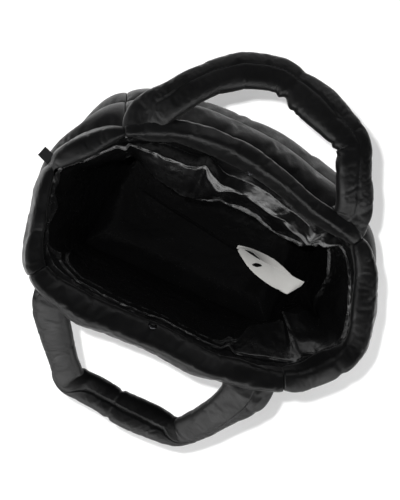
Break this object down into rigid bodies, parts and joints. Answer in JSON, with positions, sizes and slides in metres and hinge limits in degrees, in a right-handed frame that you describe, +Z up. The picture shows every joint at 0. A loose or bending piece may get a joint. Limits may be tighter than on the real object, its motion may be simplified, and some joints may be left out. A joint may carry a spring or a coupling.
{
  "type": "mini puffer tote bag",
  "caption": "Small quilted puffer tote standing open on a flat base, with padded walls and mouth band, loose glossy lining and padded handles that flop outwards.",
  "frame": {"origin": "middle of the flat underside, on the surface that the bag stands on", "axes": "+Z up out of the mouth, +X along the front from left to right, +Y from the front to the back"},
  "size_m": [0.415, 0.4536, 0.2599],
  "materials": {
    "shell": "black padded nylon with a soft satin sheen",
    "lining": "black glossy lining film",
    "snap": "dark gunmetal",
    "tag": "woven black tape",
    "label": "white satin tape"
  },
  "bodies": {
    "root": {"front_panel": "shell", "right_gusset": "shell", "back_panel": "shell", "left_gusset": "shell", "base_panel": "shell", "front_rim": "shell", "right_rim": "shell", "back_rim": "shell", "left_rim": "shell", "front_handle": "shell", "back_handle": "shell", "lining": "lining", "front_snap": "snap", "back_snap": "snap", "side_tag": "tag", "inner_label": "label"}
  },
  "joints": []
}
